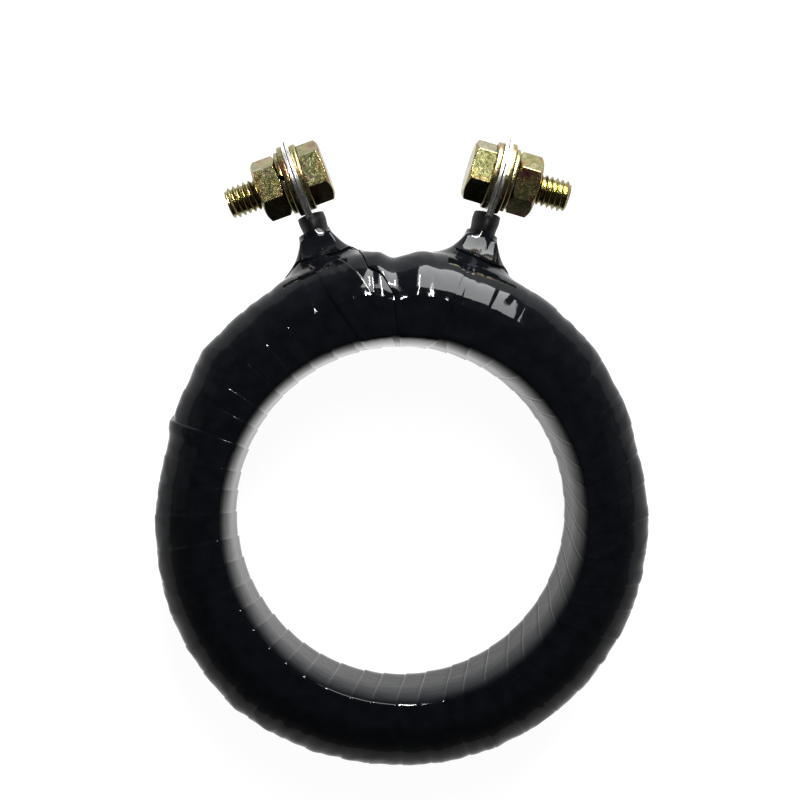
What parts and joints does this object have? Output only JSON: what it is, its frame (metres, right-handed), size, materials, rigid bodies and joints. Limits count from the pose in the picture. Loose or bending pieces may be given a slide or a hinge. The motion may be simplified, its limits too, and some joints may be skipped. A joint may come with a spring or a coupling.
{
  "type": "ring current transformer",
  "caption": "Tape-wrapped ring current transformer with an open window and two lugs carrying bolted screw terminals.",
  "frame": {"origin": "centre of the window, halfway through the ring's width", "axes": "+Z along the ring's axis, from the back face to the front face; +Y from the window towards the two terminals; +X to the right-hand terminal"},
  "size_m": [0.088, 0.1126, 0.034],
  "materials": {
    "tape": "glossy black PVC tape, half-lapped",
    "sleeve": "satin black heat-shrink",
    "tinned_lug": "bright tin plate",
    "zinc": "yellow passivated zinc, iridescent",
    "zinc_washer": "yellow passivated zinc, duller stamped faces",
    "core_steel": "varnished silicon steel strip",
    "enamelled_wire": "enamelled copper",
    "film": "translucent polyester film",
    "paper": "pressboard"
  },
  "bodies": {
    "root": {"core_strip": "core_steel", "core_paper_inner": "paper", "core_paper_outer": "paper", "core_end_ring_front": "paper", "core_end_ring_back": "paper", "secondary_winding": "enamelled_wire", "film_wrap": "film", "outer_tape": "tape", "lead_left": "enamelled_wire", "tape_collar_left": "tape", "sleeve_left": "sleeve", "lug_left": "tinned_lug", "lead_right": "enamelled_wire", "tape_collar_right": "tape", "sleeve_right": "sleeve", "lug_right": "tinned_lug"},
    "bolt_left": {"bolt_left": "zinc", "inner_washer_left": "zinc_washer"},
    "outer_washer_left": {"outer_washer_left": "zinc_washer"},
    "spring_washer_left": {"spring_washer_left": "zinc"},
    "nut_left": {"nut_left": "zinc"},
    "bolt_right": {"bolt_right": "zinc", "inner_washer_right": "zinc_washer"},
    "outer_washer_right": {"outer_washer_right": "zinc_washer"},
    "spring_washer_right": {"spring_washer_right": "zinc"},
    "nut_right": {"nut_right": "zinc"}
  },
  "joints": [
    {"name": "bolt_left_turn", "type": "hinge", "parent": "root", "child": "bolt_left", "pos_m": [-0.01914, 0.06107, 0], "axis": [-0.9379, -0.3414, -0.061], "continuous": true},
    {"name": "outer_washer_left_slide", "type": "slide", "parent": "bolt_left", "child": "outer_washer_left", "axis": [-0.9379, -0.3414, -0.061], "range_m": [0, 0.00505]},
    {"name": "nut_left_travel", "type": "slide", "parent": "bolt_left", "child": "spring_washer_left", "axis": [-0.9379, -0.3414, -0.061], "range_m": [0, 0.01]},
    {"name": "nut_left_turn", "type": "hinge", "parent": "spring_washer_left", "child": "nut_left", "pos_m": [-0.01914, 0.06107, 0], "axis": [-0.9379, -0.3414, -0.061], "range_deg": [0, 3602]},
    {"name": "bolt_right_turn", "type": "hinge", "parent": "root", "child": "bolt_right", "pos_m": [0.01753, 0.06155, 0], "axis": [0.9595, -0.2751, -0.061], "continuous": true},
    {"name": "outer_washer_right_slide", "type": "slide", "parent": "bolt_right", "child": "outer_washer_right", "axis": [0.9595, -0.2751, -0.061], "range_m": [0, 0.00505]},
    {"name": "nut_right_travel", "type": "slide", "parent": "bolt_right", "child": "spring_washer_right", "axis": [0.9595, -0.2751, -0.061], "range_m": [0, 0.01]},
    {"name": "nut_right_turn", "type": "hinge", "parent": "spring_washer_right", "child": "nut_right", "pos_m": [0.01753, 0.06155, 0], "axis": [0.9595, -0.2751, -0.061], "range_deg": [0, 3602]}
  ],
  "couplings": [
    {"joint": "nut_left_turn", "follows": "nut_left_travel", "rad_per_m": 6283.2},
    {"joint": "outer_washer_left_slide", "follows": "nut_left_travel", "ratio": 0.5},
    {"joint": "nut_right_turn", "follows": "nut_right_travel", "rad_per_m": 6283.2},
    {"joint": "outer_washer_right_slide", "follows": "nut_right_travel", "ratio": 0.5}
  ]
}
